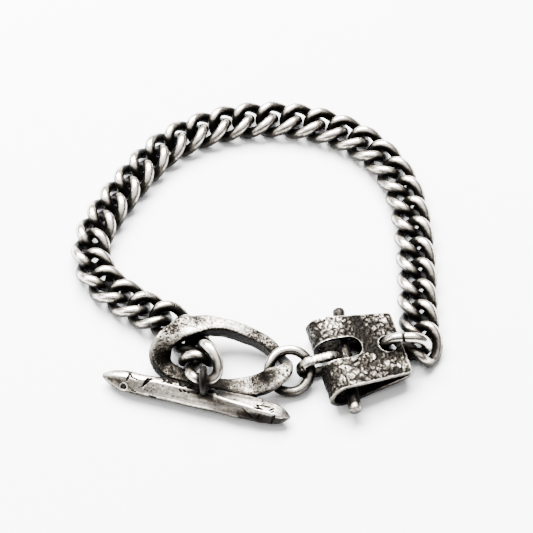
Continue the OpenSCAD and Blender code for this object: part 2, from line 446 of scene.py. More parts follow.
def speckle_group():
    """Fine black pits: 1 in a pit and 0 between, more of them as Amount grows."""
    tree, inlet, outlet = shader_group(
        "fine_pits", (("Amount", 0.0), ("Size", 0.3), ("Patch", 3.0)), (("Pit", "NodeSocketFloat"),))
    place = tree.nodes.new("ShaderNodeTexCoord").outputs["Object"]
    fine = noise_texture(tree, place, inlet.outputs["Size"], 3.0, 0.6)
    patch = noise_texture(tree, place, inlet.outputs["Patch"], 1.0, 0.5)
    level = math_node(tree, "ADD", fine, centred(tree, patch, 0.6))
    edge = math_node(tree, "SUBTRACT", 0.92, math_node(tree, "MULTIPLY", inlet.outputs["Amount"], 0.4))
    pit = map_range(tree, math_node(tree, "SUBTRACT", level, edge), 0.0, 0.05)
    tree.links.new(pit, outlet.inputs["Pit"])
    return tree


PATINA = patina_group()
SPECKLE = speckle_group()


def silver(name, start, full, polish, dent_and_shade_dirt, grain_dirt, grain_size, relief, relief_size,
           pit_amount=0.0, pit_size=0.3, tone=1.0, streak_way=0.0, streak_dirt=0.0):
    """Oxidised silver. It clears from black at a wear of start and is bright, with polish as its
    roughness, at full. The dirts are the wear taken away by dents and the painted shade kept with them, by
    grain and by streaks. Sizes are in millimetres, relief is the height of the fine surface, and streak_way
    is in degrees."""
    material = bpy.data.materials.new(name)
    material.use_nodes = True
    tree = material.node_tree
    tree.nodes.clear()
    output = tree.nodes.new("ShaderNodeOutputMaterial")
    shader = tree.nodes.new("ShaderNodeBsdfPrincipled")
    tree.links.new(shader.outputs["BSDF"], output.inputs["Surface"])
    shader.inputs["Metallic"].default_value = 1.0
    place = tree.nodes.new("ShaderNodeTexCoord").outputs["Object"]
    layer = {}
    for key in ("open", "dent_and_shade", "rim", "pitted"):
        node = tree.nodes.new("ShaderNodeAttribute")
        node.attribute_name = key
        layer[key] = node.outputs["Fac"]
    grain = noise_texture(tree, place, grain_size, 5.0, 0.65)
    drawn = tree.nodes.new("ShaderNodeMapping")
    drawn.vector_type = "TEXTURE"
    drawn.inputs["Rotation"].default_value = (0, 0, math.radians(streak_way))
    drawn.inputs["Scale"].default_value = (STREAK_STRETCH, 1, 1)
    tree.links.new(place, drawn.inputs["Vector"])
    streak = noise_texture(tree, drawn.outputs["Vector"], STREAK_W, 4.0, 0.6)
    worn = math_node(tree, "ADD", layer["open"], centred(tree, streak, streak_dirt))
    speckle = tree.nodes.new("ShaderNodeGroup")
    speckle.node_tree = SPECKLE
    speckle.inputs["Size"].default_value = pit_size
    amount = math_node(tree, "ADD", layer["pitted"], pit_amount)
    tree.links.new(amount, speckle.inputs["Amount"])
    pit = speckle.outputs["Pit"]
    patina = tree.nodes.new("ShaderNodeGroup")
    patina.node_tree = PATINA
    tree.links.new(worn, patina.inputs["Open"])
    tree.links.new(math_node(tree, "MAXIMUM", layer["dent_and_shade"], pit), patina.inputs["Dent And Shade"])
    tree.links.new(layer["rim"], patina.inputs["Rim"])
    tree.links.new(grain, patina.inputs["Grain"])
    for socket, value in (("Start", start), ("Full", full), ("Polish", polish), ("Dent Dirt", dent_and_shade_dirt),
                          ("Grain Dirt", grain_dirt), ("Tone", tone)):
        patina.inputs[socket].default_value = value
    tree.links.new(patina.outputs["Color"], shader.inputs["Base Color"])
    tree.links.new(patina.outputs["Roughness"], shader.inputs["Roughness"])
    bump = tree.nodes.new("ShaderNodeBump")
    bump.inputs["Distance"].default_value = relief * MM
    bump.inputs["Strength"].default_value = 1.0
    height = noise_texture(tree, place, relief_size, 6.0, 0.7)
    tree.links.new(math_node(tree, "SUBTRACT", height, pit), bump.inputs["Height"])
    tree.links.new(bump.outputs["Normal"], shader.inputs["Normal"])
    return material


link_silver = silver(
    "curb_link_silver", start=0.70, full=1.0, polish=0.27, dent_and_shade_dirt=0.6, grain_dirt=0.2, grain_size=1.6,
    relief=0.03, relief_size=1.2, pit_amount=0.05, pit_size=0.22)
cast_silver = silver(
    "cast_ring_silver", start=0.41, full=1.25, polish=0.34, dent_and_shade_dirt=0.6, grain_dirt=1.0, grain_size=0.4,
    relief=0.09, relief_size=0.4, pit_amount=0.5, pit_size=0.2, tone=0.85, streak_way=-10, streak_dirt=0.6)
bar_silver = silver(
    "toggle_bar_silver", start=0.39, full=1.26, polish=0.34, dent_and_shade_dirt=0.75, grain_dirt=0.7, grain_size=0.7,
    relief=0.05, relief_size=0.5, pit_amount=0.2, pit_size=0.25, tone=0.88, streak_way=-14.4, streak_dirt=0.6)
ring_silver = silver(
    "round_wire_silver", start=0.52, full=1.0, polish=0.24, dent_and_shade_dirt=0.5, grain_dirt=0.25, grain_size=1.2,
    relief=0.03, relief_size=0.9, pit_amount=0.1, pit_size=0.2, tone=0.88)
pin_silver = silver(
    "cross_pin_silver", start=0.50, full=1.2, polish=0.32, dent_and_shade_dirt=0.75, grain_dirt=0.7, grain_size=0.6,
    relief=0.05, relief_size=0.5, pit_amount=0.3, pit_size=0.22, tone=0.85, streak_way=97.3, streak_dirt=0.7)
tab_silver = silver(
    "folded_tab_silver", start=0.22, full=1.16, polish=0.36, dent_and_shade_dirt=0.8, grain_dirt=0.85, grain_size=0.35,
    relief=0.07, relief_size=0.25, pit_amount=0.0, pit_size=0.3, tone=0.8)


# Curb chain
def link_line(count):
    """The middle of a curb link's wire, its two ends twisted opposite ways."""
    points = []
    reach_x = (LINK_L - WIRE_D) / 2
    reach_y = (LINK_W - WIRE_D) / 2
    for k in range(4 * count):
        t = TAU * k / (4 * count)
        x = reach_x * signed_power(math.cos(t), 2 / LINK_SWELL)
        y = reach_y * signed_power(math.sin(t), 2 / LINK_SWELL)
        twist = -LINK_TWIST * x / reach_x
        points.append((x, y * math.cos(twist), y * math.sin(twist)))
    return resampled(points, count)


def wire_sections(line, radius, sides):
    """Round sections carried along a closed line with no twist of their own."""
    count = len(line)
    ways = [(line[(i + 1) % count] - line[i - 1]).normalized() for i in range(count)]
    across = ways[0].orthogonal().normalized()
    carried = []
    for i in range(count + 1):
        way = ways[i % count]
        across = (across - way * across.dot(way)).normalized()
        carried.append(across.copy())
    slip = carried[0].angle(carried[-1])
    if carried[0].cross(carried[-1]).dot(ways[0]) > 0:
        slip = -slip
    sections = []
    for i in range(count):
        a = Matrix.Rotation(slip * i / count, 3, ways[i]) @ carried[i]
        b = ways[i].cross(a)
        sections.append([line[i] + (a * math.cos(TAU * k / sides) + b * math.sin(TAU * k / sides)) * radius
                         for k in range(sides)])
    return sections


def node_frame(name):
    """Middle and axes of a link, from its own solid."""
    bm = bmesh.new()
    bm.from_mesh(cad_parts[name].data)
    bmesh.ops.remove_doubles(bm, verts=bm.verts, dist=0.00001)
    places = np.array([tuple(v.co) for v in bm.verts])
    bm.free()
    middle = places.mean(axis=0)
    spread, axes = np.linalg.eigh(np.cov((places - middle).T))
    x, y = Vector(axes[:, 2]), Vector(axes[:, 1])
    z = x.cross(y)
    return Matrix.Translation(Vector(middle)) @ Matrix((x, y, z)).transposed().to_4x4()


# How far the links' wire is worn down all over, and how pitted each of the first links from the toggle
# bar is, the rest being smooth
LINK_WEAR = 0.03
LINK_PITS = (0.55, 0.6, 0.75, 0.8, 0.7, 0.6, 0.6, 0.5, 0.4, 0.35, 0.2)


def build_links():
    line = link_line(LINK_STEPS)
    links = []
    for number in range(1, LINK_COUNT + 1):
        name = f"link_{number:02d}"
        uneven = ripple(1.6, 0.03, number * 3.17)
        bm = skin(wire_sections(line, WIRE_D / 2, LINK_SIDES), True)
        press(bm, lambda place: (LINK_WEAR + uneven(place)[0], 0.0))
        pitted = add_layer(bm, "pitted")
        worn = LINK_PITS[number - 1] if number <= len(LINK_PITS) else 0.0
        for vert in bm.verts:
            vert[pitted] = worn
        bm.transform(node_frame(name) @ Matrix.Scale(MM, 4))
        links.append(make_piece(f"curb_{name}", bm, link_silver, (name,), scaled=False))
    return links


# Toggle clasp
def ring_row(step):
    """Blended row of the toggle ring's table at a place counted in rows."""
    count = len(RING_ROWS)
    i, t = int(step) % count, step % 1
    rows = [RING_ROWS[(i + k) % count] for k in (-1, 0, 1, 2)]
    return [catmull(*(row[c] for row in rows), t) for c in range(6)]


# Where the ring is most pitted: x, y, z, radius, and the share that pits take there on top of the rest
RING_CROWDS = (
    (-16.9, -17.7, 6.9, 2.3, 0.75),
    (-13.3, -16.4, 6.9, 1.9, 0.55),
    (-1.2, -18.3, 4.4, 2.6, 0.5),
    (-16.6, -24.6, 2.6, 1.8, 0.2),
    (-0.4, -27.9, 4.8, 2.6, 0.55),
    (2.9, -27.0, 5.6, 1.6, 0.35),
    (-20.6, -21.0, 4.0, 1.6, 0.35),
    (-20.5, -23.2, 3.0, 1.9, 0.5),
)


# Darker parts of the ring, dirt and painted shadow, with lighter ones below 0: x, y, z, radius, strength
RING_DIRT_AND_SHADOW = (
    (-20.0, -22.0, 3.2, 2.4, 0.35),
    (-17.6, -18.0, 6.9, 2.2, 0.2),
    (0.6, -27.7, 5.2, 2.4, 0.3),
    (-1.5, -18.6, 4.6, 2.6, 0.2),
    (-7.0, -27.6, 2.4, 2.6, 0.25),
    # painted shadow of the dark mass beside the bar's eye
    (-10.4, -26.6, 2.2, 2.2, 0.8),
    (-16.2, -25.0, 2.5, 1.8, -0.5),
    (-21.4, -22.6, 2.6, 2.0, 0.45),
)
# The walls that face the ring's middle are painted darker, as shade inside the ring
RING_MIDDLE = Vector((-8.2, -22.6, 0))
RING_INSIDE_SHADE = 0.6
# Hollow of the near arm's spoon: x, y, z, radius, depth
RING_HOLLOWS = (
    (-2.4, -28.1, 3.5, 1.2, 0.16),
    (-0.6, -27.9, 4.8, 1.3, 0.24),
    (1.2, -27.5, 5.6, 1.3, 0.24),
    (2.6, -26.6, 5.6, 1.0, 0.14),
)
# Larger black blotches of the near side: x, y, z, radius, share
RING_BLOTCHES = (
    (-17.4, -24.4, 2.6, 1.7, 1.25),
    (-15.0, -25.6, 2.3, 1.6, 1.15),
    (-19.6, -23.2, 3.2, 1.2, 0.9),
)


def hollow(place):
    """Depth and dirt of the spoon's hollow."""
    deep = spots_at(place, RING_HOLLOWS)
    return deep, 0.9 * deep


def shade_ring(bm):
    """Dirt and painted shadow on the ring's darker parts, and painted shade on the walls that face its
    middle.
    """
    dent_and_shade, pitted = add_layer(bm, "dent_and_shade"), add_layer(bm, "pitted")
    bm.normal_update()
    for vert in bm.verts:
        vert[pitted] = min(1.0, spots_at(vert.co, RING_CROWDS))
        inward = (RING_MIDDLE - vert.co).to_2d().normalized().dot(vert.normal.to_2d())
        shade = RING_INSIDE_SHADE * smoothstep(0.35, 0.9, inward) + spots_at(vert.co, RING_DIRT_AND_SHADOW)
        vert[dent_and_shade] = min(1.0, vert[dent_and_shade] + shade)


def build_toggle_ring():
    rows = [ring_row(k / RING_STEPS) for k in range(len(RING_ROWS) * RING_STEPS)]
    line = [Vector(row[:3]) for row in rows]
    bm = skin(swept(line, lambda i: (oval(rows[i][3], rows[i][4], BAND_SIDES, BAND_SQUARENESS),
                                     math.radians(rows[i][5]))), True)
    press(bm, ripple(2.4, 0.12, 4.1))
    press(bm, hollow)
    press(bm, pits(0.3, 0.09, 9.3, 0.08, 4.0, RING_CROWDS))
    press(bm, pits(0.8, 0.12, 3.3, -0.4, 6.0, RING_BLOTCHES))
    shade_ring(bm)
    return make_piece("cast_toggle_ring", bm, cast_silver, ("toggle_ring",))


def bar_row(place):
    rows = BAR_ROWS
    i = max(k for k in range(len(rows) - 1) if rows[k][0] <= place or k == 0)
    span = rows[i + 1][0] - rows[i][0]
    t = (place - rows[i][0]) / span
    around = [rows[min(max(i + k, 0), len(rows) - 1)] for k in (-1, 0, 1, 2)]
    return [catmull(*(row[c] for row in around), t) for c in range(1, 4)]


# Flats ground along the bar: place along its length, then the direction round the bar and the
# distance from its middle, as a share of its thickness, of the front flat and of the top flat
BAR_FLATS = (
    (-0.5, 133, 0.42, 40, 0.43),
    (-0.37, 130, 0.42, 40, 0.44),
    (-0.22, 122, 0.42, 22, 0.46),
    (-0.17, 120, 0.42, -10, 0.48),
    (0.08, 120, 0.42, -10, 0.48),
    (0.11, 128, 0.42, 62, 0.44),
    (0.22, 138, 0.43, 70, 0.43),
    (0.33, 148, 0.425, 76, 0.42),
    (0.44, 162, 0.412, 84, 0.42),
    (0.5, 170, 0.42, 86, 0.42),
)
BAR_BACK_FLATS = ((215, 0.42), (262, 0.445), (290, 0.47), (318, 0.46))


def bar_flats(place):
    i = max(k for k in range(len(BAR_FLATS) - 1) if BAR_FLATS[k][0] <= place)
    a, b = BAR_FLATS[i], BAR_FLATS[i + 1]
    t = (place - a[0]) / (b[0] - a[0])
    row = [p + (q - p) * t for p, q in zip(a, b)]
    return ((row[1], row[2]), (row[3], row[4])) + BAR_BACK_FLATS


def bar_section(place):
    thick, high, shift = bar_row(place)
    flats = bar_flats(place)
    points = []
    for k in range(BAR_SIDES):
        angle = TAU * k / BAR_SIDES
        radius = 0.5
        for facing, distance in flats:
            turn = math.cos(angle - math.radians(facing))
            if turn > 0.2:
                radius = min(radius, distance / turn)
        points.append(Vector((place * BAR_L,
                              BAR_D * (shift + thick * radius * math.cos(angle)),
                              BAR_D * high * radius * math.sin(angle))))
    return points


# Strokes filed into the bar: from and to, each as place along in millimetres and direction round in
# degrees, then width and depth in millimetres
BAR_STROKES = (
    (-13.8, 38, -12.1, 92, 0.4, 0.3),
    (-12.6, 55, -13.0, 113, 0.4, 0.3),
    (-12.6, 90, -11.2, 98, 0.3, 0.25),
    (-11.8, 158, -11.1, 160, 0.35, 0.25),
    (-12.0, 172, -11.4, 178, 0.3, 0.25),
    (-10.6, 170, -10.5, 182, 0.3, 0.25),
    (-8.0, 168, -7.2, 168, 0.4, 0.3),
    (-7.0, 180, -6.6, 184, 0.4, 0.3),
    (-5.4, 186, -4.3, 184, 0.3, 0.25),
    (-3.2, 200, -2.6, 190, 0.35, 0.25),
    (0.4, 196, 1.4, 200, 0.3, 0.25),
    (-2.9, 99, -2.6, 108, 0.35, 0.3),
    (-2.2, 97, -1.7, 104, 0.35, 0.3),
    (-1.4, 101, -1.1, 106, 0.3, 0.25),
    (0.9, 82, 0.5, 98, 0.4, 0.35),
    (1.6, 88, 1.4, 94, 0.3, 0.25),
    (7.2, 78, 7.5, 80, 0.35, 0.3),
    (9.3, 124, 11.5, 164, 0.25, 0.25),
    (12.5, 137, 12.4, 158, 0.4, 0.3),
    (13.1, 142, 13.0, 162, 0.25, 0.25),
    (14.9, 128, 14.9, 150, 0.25, 0.25),
    (15.3, 125, 14.9, 182, 0.4, 0.35),
    (16.4, 150, 17.3, 128, 0.35, 0.3),
    (11.7, 86, 12.8, 78, 0.3, 0.3),
    (11.8, 90, 12.4, 102, 0.35, 0.3),
    (11.5, 108, 12.8, 104, 0.4, 0.35),
    (12.8, 78, 14.0, 78, 0.35, 0.3),
    (14.9, 80, 14.2, 98, 0.35, 0.3),
    (15.0, 100, 14.6, 113, 0.25, 0.25),
)
# Notches cut flat into the bar: corners in the same measures, counted round, then the depth
BAR_NOTCHES = (
    (((-8.0, 68), (-9.3, 74), (-9.8, 98), (-10.0, 137)), 0.45),
    (((8.7, 166), (8.8, 192), (12.4, 214), (15.0, 206), (12.6, 184), (11.0, 172)), 0.5),
)


# Darker parts of the bar, dirt and painted shade, and brighter ones below 0, a painted highlight: place along
# and direction round, reach along and round, strength
BAR_DIRT_AND_SHADOW = (
    (14.0, 158, 3.0, 26, 1.1),
    (9.6, 150, 1.4, 20, 0.4),
    (-15.2, 124, 2.2, 20, 0.4),
    (-15.0, 52, 2.6, 26, 0.35),
    # painted shade along the lower edge by the table
    (0.0, 212, 40.0, 28, 0.7),
    (0.0, 40, 40.0, 20, 0.4),
    (-3.0, 55, 4.5, 22, 0.5),
    # painted shadow round the foot of the eye
    (1.6, 56, 2.6, 40, 1.5),
    # painted highlight along the upper ridge
    (13.2, 100, 2.4, 14, -0.5),
    (-9.0, 100, 5.0, 14, -0.3),
    (-13.0, 150, 3.0, 14, 0.25),
    (5.0, 126, 2.2, 12, 0.15),
    (-6.5, 150, 2.4, 12, 0.15),
)


def bar_dirt_and_shade(along, facing):
    """Dirt and painted shade of the bar's larger dark parts, and painted highlight where it is below 0."""
    return sum(strength * math.exp(-((along - x) / reach) ** 2 - ((facing - way) / spread) ** 2)
               for x, way, reach, spread, strength in BAR_DIRT_AND_SHADOW)


def round_bar(degrees):
    """Distance round the bar, in millimetres, of a direction in degrees."""
    return math.radians(degrees) * BAR_D / 2


def stroke_depth(along, around, stroke):
    x0, facing0, x1, facing1, width, depth = stroke
    start = Vector((x0, round_bar(facing0)))
    way = Vector((x1, round_bar(facing1))) - start
    place = Vector((along, around)) - start
    t = min(1.0, max(0.0, place.dot(way) / way.length_squared))
    ragged = 1 + 0.5 * noise.noise(Vector((along * 3, around * 3, depth)))
    return depth * smoothstep(width / 2 * ragged, width / 6, (place - way * t).length)


def notch_depth(along, around, corners, depth):
    inside = 1.0
    for (x0, facing0), (x1, facing1) in zip(corners, corners[1:] + corners[:1]):
        way = Vector((x1 - x0, round_bar(facing1) - round_bar(facing0))).normalized()
        inside = min(inside, (along - x0) * way.y - (around - round_bar(facing0)) * way.x)
    return depth * smoothstep(0.0, 0.15, inside)


def jagged_edge(along, facing):
    """Torn black pits along the top of the bar's middle, beside its bright upper edge."""
    reach = smoothstep(-7.2, -5.8, along) * smoothstep(3.4, 2.4, along)
    band = smoothstep(24, 14, abs(facing - 62 - 6 * noise.noise(Vector((along / 1.1, 3.7, 0)))))
    tear = noise.noise(Vector((along / 0.8, facing / 16, 7)))
    return smoothstep(-0.25, 0.05, tear) * reach * band


def wear_and_highlight_ridges(bm):
    """Bright metal along the upper ridges between the bar's flats: rubbed wear, and a painted highlight, kept
    off the lower ridges.
    """
    rim = add_layer(bm, "rim")
    for vert in bm.verts:
        thick, high, shift = bar_row(min(0.5, max(-0.5, vert.co.x / BAR_L)))
        out = math.hypot((vert.co.y / BAR_D - shift) / max(thick, 0.1), vert.co.z / BAR_D / max(high, 0.1))
        mark(vert, rim, 0.32 * smoothstep(0.455, 0.5, out) * smoothstep(0.0, 1.2, vert.co.z))


def drill(bm):
    """The round hole through the bar near its left tip."""
    middle = Vector((BAR_HOLE_PLACE * BAR_L, 0, 0))
    axis = Vector((0, math.cos(BAR_HOLE_FACING), math.sin(BAR_HOLE_FACING)))
    radius, cell = BAR_HOLE_D / 2, BAR_L / BAR_STEPS
    dent_and_shade, rim, calm = add_layer(bm, "dent_and_shade"), add_layer(bm, "rim"), add_layer(bm, "calm")
    inner, edge = set(), []
    for vert in bm.verts:
        off = vert.co - middle
        height = off.dot(axis)
        off -= axis * height
        if off.length < radius + CUT_TAKE * cell:
            inner.add(vert)
            if off.length > radius - CUT_REACH * cell:
                vert.co = middle + axis * height + off.normalized() * radius
                edge.append(vert)
    bmesh.ops.delete(bm, geom=[f for f in bm.faces if all(v in inner for v in f.verts)], context="FACES")
    ends = [v for v in edge if v.is_valid and v.is_boundary]
    bmesh.ops.remove_doubles(bm, verts=ends, dist=CUT_MERGE * cell)
    ends = [v for v in bm.verts if v.is_boundary]
    calm_rim(calm, ends, 2)
    for vert in {e.other_vert(v) for v in ends for e in v.link_edges}:
        vert[rim] = 0.4
    wall = bmesh.ops.bridge_loops(bm, edges=[e for e in bm.edges if e.is_boundary])["faces"]
    sides = dict.fromkeys(e for f in wall for e in f.edges if e.calc_length() > BAR_D / 3)
    rings = bmesh.ops.subdivide_edges(bm, edges=list(sides), cuts=3)
    for vert in rings["geom_inner"]:
        if isinstance(vert, bmesh.types.BMVert):
            vert[dent_and_shade] = 1.0
            vert[calm] = 1.0
    bmesh.ops.recalc_face_normals(bm, faces=bm.faces)


def build_toggle_bar():
    places = [-0.5 + k / BAR_STEPS for k in range(BAR_STEPS + 1)]
    bm = skin([bar_section(p) for p in places], False)
    press(bm, ripple(3.0, 0.08, 2.2))
    drill(bm)
    wear_and_highlight_ridges(bm)

    def filed(place):
        facing = math.degrees(math.atan2(place.z, place.y)) % 360
        around = round_bar(facing)
        deep = max(stroke_depth(place.x, around, stroke) for stroke in BAR_STROKES)
        deep = max(deep, *(notch_depth(place.x, around, *notch) for notch in BAR_NOTCHES))
        torn = jagged_edge(place.x, facing)
        # the darkening adds the bar's dirt, painted shade and painted highlight patches to the filed marks
        # and torn pits
        return deep + 0.3 * torn, min(1.0, 4 * deep + torn + bar_dirt_and_shade(place.x, facing))
    press(bm, filed)
    press(bm, pits(0.3, 0.05, 5.2, 0.12, 5.0))
    bmesh.ops.rotate(bm, verts=bm.verts, cent=(0, 0, 0), matrix=Matrix.Rotation(BAR_TURN, 3, "Z"))
    bmesh.ops.translate(bm, verts=bm.verts, vec=BAR_AT)
    upright = Matrix.Rotation(math.radians(90), 3, "Y")
    add_torus(bm, BAR_EYE_AT, upright, BAR_EYE_D / 2, BAR_EYE_WIRE / 2, BAR_EYE_OXIDE_AND_SHADE)
    return make_piece("hammered_toggle_bar", bm, bar_silver, ("toggle_bar",))


def add_torus(bm, place, turn, radius, wire, dirt_and_shade=0.0):
    """A ring of round wire added to bm, its layer of dents and shade filled with the darkness given, which
    for the bar's eye is painted shade as well as oxide.
    """
    ring = bmesh.new()
    dent_and_shade = add_layer(ring, "dent_and_shade")
    made = bmesh.ops.create_circle(ring, segments=WIRE_RING_SIDES, radius=wire)["verts"]
    bmesh.ops.rotate(ring, verts=made, cent=(0, 0, 0), matrix=Matrix.Rotation(math.radians(90), 3, "X"))
    bmesh.ops.translate(ring, verts=made, vec=(radius, 0, 0))
    bmesh.ops.spin(ring, geom=ring.verts[:] + ring.edges[:], cent=(0, 0, 0), axis=(0, 0, 1), angle=TAU,
                   steps=WIRE_RING_STEPS, use_merge=True)
    bmesh.ops.recalc_face_normals(ring, faces=ring.faces)
    bmesh.ops.rotate(ring, verts=ring.verts, cent=(0, 0, 0), matrix=turn)
    bmesh.ops.translate(ring, verts=ring.verts, vec=place)
    for vert in ring.verts:
        vert[dent_and_shade] = dirt_and_shade
    join(bm, ring)


def join(bm, other):
    mesh = bpy.data.meshes.new("joined")
    other.to_mesh(mesh)
    other.free()
    bm.from_mesh(mesh)
    bpy.data.meshes.remove(mesh)


def build_jump_ring():
    bm = bmesh.new()
    add_layer(bm, "dent_and_shade")
    turn = Matrix.Rotation(JUMP_TURN, 3, "Z") @ Matrix.Rotation(JUMP_LEAN, 3, "X")
    add_torus(bm, JUMP_AT, turn, (JUMP_D - JUMP_WIRE) / 2, JUMP_WIRE / 2)
    press(bm, ripple(2.2, 0.05, 6.6))
    return make_piece("round_jump_ring", bm, ring_silver, ("jump_ring",))


# Folded tab
def in_tab(bm):
    bmesh.ops.rotate(bm, verts=bm.verts, cent=(0, 0, 0), matrix=Matrix.Rotation(TAB_TURN, 3, "Z"))
    bmesh.ops.translate(bm, verts=bm.verts, vec=TAB_AT)


def leaf_end(height, upper):
    """Direction from the fold's middle at which a leaf leaves it."""
    radius = FOLD_H / 2
    run, rise = TAB_L - radius, height - radius
    opening = math.acos((radius - TAB_WALL / 2) / math.hypot(run, rise))
    return math.atan2(rise, run) + (opening if upper else -opening)


def sheet_path():
    """Length of the sheet's middle line, and a function from a distance along it to (x, z, facing)."""
    centre = FOLD_H / 2
    radius = centre - TAB_WALL / 2
    low = TAB_EDGE_LOW
    high = low + TAB_WALL + TAB_EDGE_GAP
    top, bottom = leaf_end(high, True), leaf_end(low, False) + TAU

    def on_fold(angle):
        return Vector((centre + radius * math.cos(angle), centre + radius * math.sin(angle)))
    start, end = Vector((TAB_L, high)), Vector((TAB_L, low))
    leave, meet = on_fold(top), on_fold(bottom)
    first, bend, last = (leave - start).length, radius * (bottom - top), (end - meet).length

    def at(run):
        if run < first:
            return (*start.lerp(leave, run / first), top)
        if run < first + bend:
            angle = top + (run - first) / radius
            return (*on_fold(angle), angle)
        return (*meet.lerp(end, (run - first - bend) / last), bottom)
    return first + bend + last, at


def round_cut(x, y, middle_x, middle_y, radius):
    """How far a place lies inside a round cut, below 0 outside, and the nearest place on its edge."""
    over, beside = x - middle_x, y - middle_y
    away = math.hypot(over, beside) or 1e-6
    return radius - away, (middle_x + over * radius / away, middle_y + beside * radius / away)


def cutout(x, y):
    """How far a place on the tab lies inside its slot or hole, below 0 outside, and the nearest edge."""
    slot_middle = SLOT_L - SLOT_W / 2
    if x < slot_middle:
        beside = y - SLOT_SIDE
        slot = SLOT_W / 2 - abs(beside), (x, SLOT_SIDE + math.copysign(SLOT_W / 2, beside))
    else:
        slot = round_cut(x, y, slot_middle, SLOT_SIDE, SLOT_W / 2)
    hole = round_cut(x, y, TAB_L - TAB_HOLE_FROM_EDGE, 0.0, TAB_HOLE_D / 2)
    return hole if hole[0] > slot[0] else slot


def tab_half_width(x):
    """Half the tab's width at a distance from its fold, the corners of its free edges rounded."""
    half = (TAB_W + (TAB_EDGE_W - TAB_W) * (x + 1) / (TAB_L + 2)) / 2
    over = max(0.0, x - (TAB_L - TAB_CORNER))
    return half - TAB_CORNER + math.sqrt(max(0.0, TAB_CORNER ** 2 - over ** 2))


def tab_sheet():
    """The sheet, cut out, folded and given its thickness."""
    length, at = sheet_path()
    cell = length / TAB_RUNS
    bm = bmesh.new()
    bmesh.ops.create_grid(bm, x_segments=TAB_RUNS, y_segments=TAB_ROWS, size=0.5)
    facing, calm = add_layer(bm, "facing"), add_layer(bm, "calm")
    dent_and_shade, cut = add_layer(bm, "dent_and_shade"), add_layer(bm, "cut")
    inner, edge_line = set(), []
    for vert in bm.verts:
        x, z, vert[facing] = at((vert.co.x + 0.5) * length)
        side = vert.co.y * 2 * tab_half_width(x)
        inside, edge = cutout(x, side)
        if inside > -CUT_TAKE * cell:
            inner.add(vert)
            if inside < CUT_REACH * cell:
                z -= (edge[0] - x) * math.cos(vert[facing]) / math.sin(vert[facing])
                x, side = edge
                edge_line.append(vert)
        vert.co = Vector((x, side, z))
    bmesh.ops.delete(bm, geom=[f for f in bm.faces if all(v in inner for v in f.verts)], context="FACES")
    rim = [v for v in edge_line if v.is_valid and v.is_boundary]
    bmesh.ops.remove_doubles(bm, verts=rim, dist=CUT_MERGE * cell)
    bmesh.ops.dissolve_degenerate(bm, edges=bm.edges[:], dist=0.1 * cell)
    for vert in bm.verts:
        if vert.is_boundary:
            vert[dent_and_shade] = 0.5
    calm_rim(calm, [v for v in bm.verts if v.is_boundary])
    for vert in rim:
        if vert.is_valid:
            vert[cut] = 1.0
    lifted = bmesh.ops.extrude_face_region(bm, geom=bm.faces[:])["geom"]
    upper = {v for v in lifted if isinstance(v, bmesh.types.BMVert)}
    for vert in bm.verts:
        out = Vector((math.cos(vert[facing]), 0, math.sin(vert[facing]))) * TAB_WALL / 2
        vert.co += out if vert in upper else -out
    walls = [e for e in bm.edges if (e.verts[0] in upper) != (e.verts[1] in upper) and e.verts[0][cut] > 0]
    for vert in bmesh.ops.subdivide_edges(bm, edges=walls, cuts=1)["geom_inner"]:
        if isinstance(vert, bmesh.types.BMVert):
            vert[dent_and_shade] = 1.0
    bmesh.ops.recalc_face_normals(bm, faces=bm.faces)
    return bm


# Dirt of the tab's whole sheet, and its darker (above 0) and brighter (below 0) parts: x, y, radius, strength
TAB_DIRT = 0.3
TAB_BRUISES = (
    (9.0, 6.8, 2.0, 0.35),
    (9.4, 3.5, 2.0, 0.25),
    (10.6, 0.4, 2.3, 0.4),
    (8.4, -3.2, 1.3, 0.25),
    (12.0, -1.2, 1.6, 0.3),
    (0.6, -3.2, 1.8, 0.35),
    (0.6, -6.0, 2.0, 0.3),
    (0.4, 6.6, 1.8, 0.2),
    (4.9, 5.8, 1.5, -0.35),
    (3.6, 7.4, 1.2, -0.3),
    (4.7, -4.8, 1.7, -0.4),
    (7.0, -2.5, 1.2, -0.3),
    (15.1, -5.1, 1.1, -0.4),
    (12.8, -3.1, 0.9, -0.35),
    (10.0, -1.8, 0.8, -0.3),
    (14.8, 5.6, 1.6, -0.2),
    (9.3, -4.0, 0.8, -0.3),
)


def tab_bruises(place):
    """Dirt of the tab's larger dark and bright parts."""
    return TAB_DIRT + spots_at(place.to_2d(), TAB_BRUISES) + 0.4 * noise.noise(place / 1.7)


def build_folded_tab():
    bm = tab_sheet()
    rim = add_layer(bm, "rim")
    sharp = [e for e in bm.edges if len(e.link_faces) == 2 and e.calc_face_angle(0) > math.radians(60)]
    bevelled = bmesh.ops.bevel(bm, geom=sharp, offset=TAB_EDGE_WEAR, segments=2, profile=0.5,
                               affect="EDGES", material=-1, clamp_overlap=True)
    for vert in bevelled["verts"]:
        vert[rim] = 0.3
    plateaus = hammering(1.25, 0.2, 5.5, 0.55)
    crumbs = pits(0.3, 0.06, 8.1, 0.7, 3.0)

    def beaten(place):
        deep, dark = plateaus(place)
        fine, specks = crumbs(place)
        return deep + fine, max(0.0, dark + 0.4 * specks + tab_bruises(place))
    press(bm, beaten)
    in_tab(bm)
    return make_piece("hammered_folded_tab", bm, tab_silver, ("folded_tab",))


